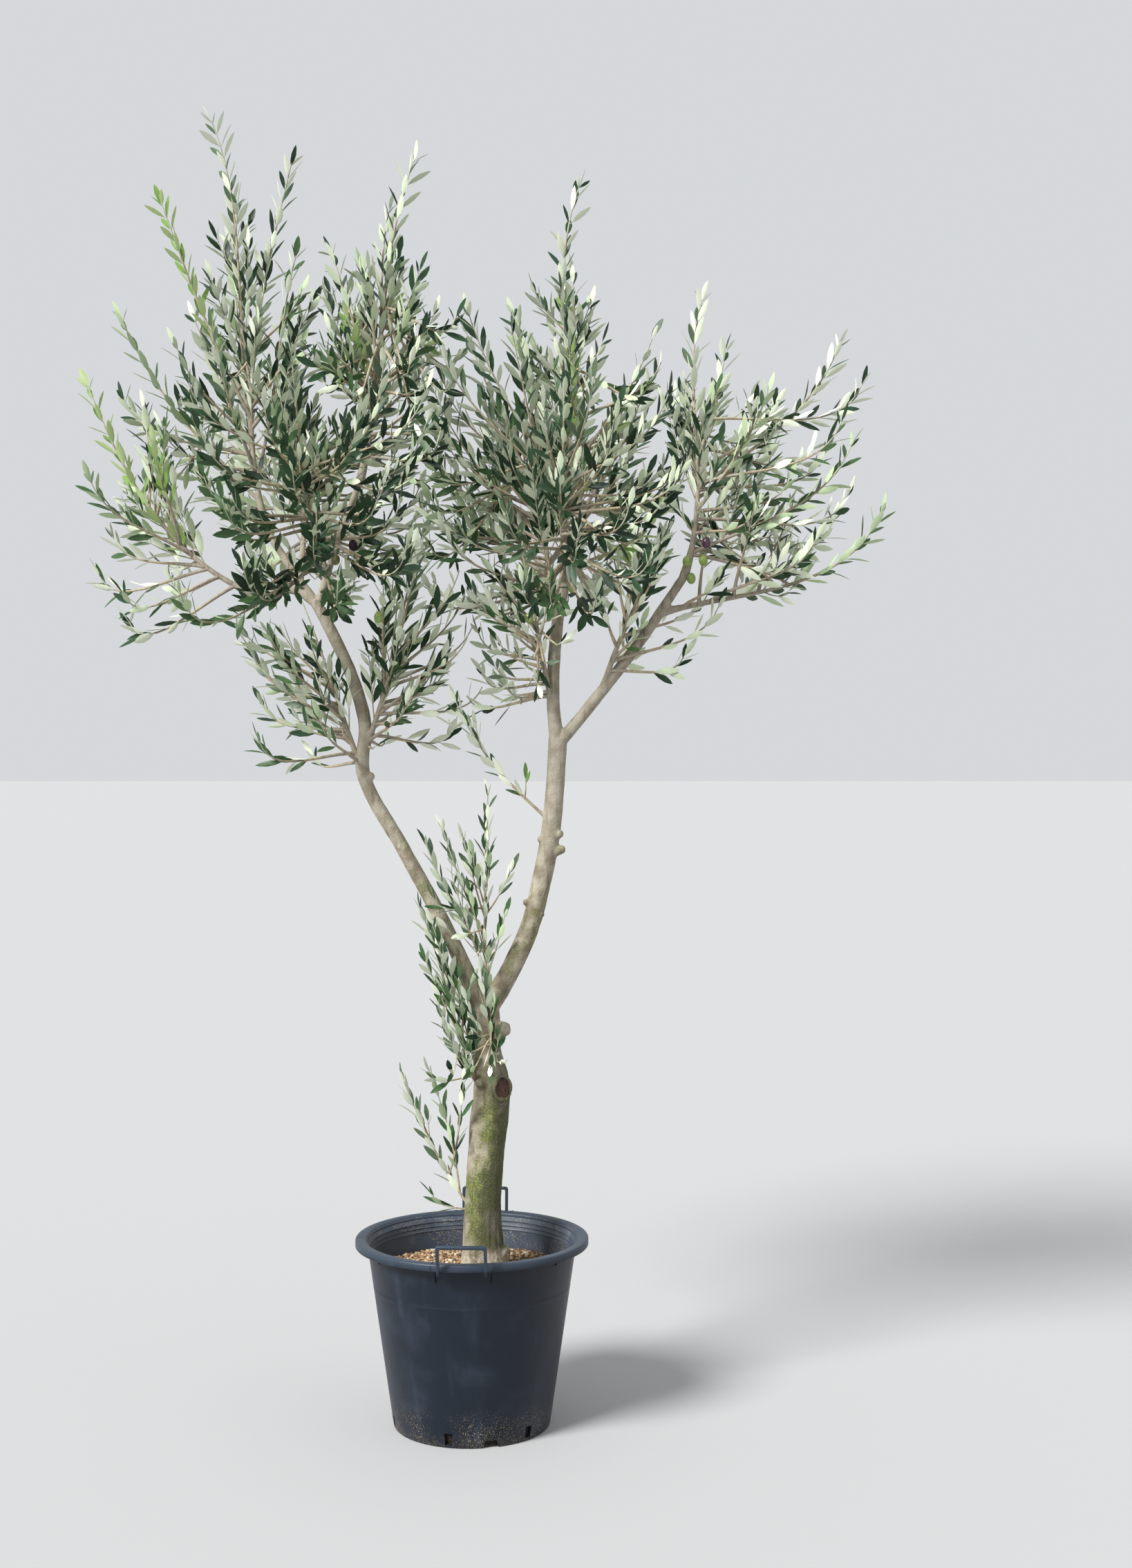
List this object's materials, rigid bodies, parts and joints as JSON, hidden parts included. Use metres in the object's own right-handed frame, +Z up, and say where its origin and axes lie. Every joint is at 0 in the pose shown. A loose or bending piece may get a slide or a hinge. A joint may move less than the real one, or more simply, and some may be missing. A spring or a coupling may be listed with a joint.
{
  "type": "potted olive tree",
  "caption": "Potted olive tree: a leaning trunk forks into long boughs with open, upright, leafy crowns, in a tapered black plastic nursery pot with carrying handles.",
  "frame": {"origin": "centre of the pot's flat underside, on the floor", "axes": "+Z up along the tree's height; +X to the right and -Y towards the viewer, so that both boughs spread along X"},
  "size_m": [1.6551, 0.7713, 2.6064],
  "materials": {
    "pot": "matte moulded plastic, scuffed, slate black",
    "handle": "matte moulded plastic, slate black",
    "soil": "loose tan and brown soil grains",
    "bark": "smooth grey-beige bark with green algae",
    "foliage": "leathery leaves, glossy dark green above and pale sage beneath"
  },
  "bodies": {
    "root": {"pot": "pot", "soil": "soil", "handle_front": "handle", "handle_rear": "handle", "trunk": "bark", "bough_left": "bark", "bough_left_outer": "bark", "bough_left_top": "bark", "bough_left_inner": "bark", "bough_right": "bark", "bough_right_top": "bark", "bough_right_outer": "bark", "leaves_left_outer": "foliage", "leaves_left_top": "foliage", "leaves_left_inner": "foliage", "leaves_left_front": "foliage", "leaves_left_back": "foliage", "leaves_left_low": "foliage", "leaves_left_low_inner": "foliage", "leaves_right_top": "foliage", "leaves_right_inner": "foliage", "leaves_right_front": "foliage", "leaves_right_back": "foliage", "leaves_right_outer": "foliage", "leaves_right_side": "foliage", "leaves_right_low": "foliage", "leaves_right_low_outer": "foliage", "shoot_middle": "foliage", "shoots_fork": "foliage", "shoots_trunk_left": "foliage", "shoots_trunk_front": "foliage", "shoot_base": "foliage"}
  },
  "joints": []
}
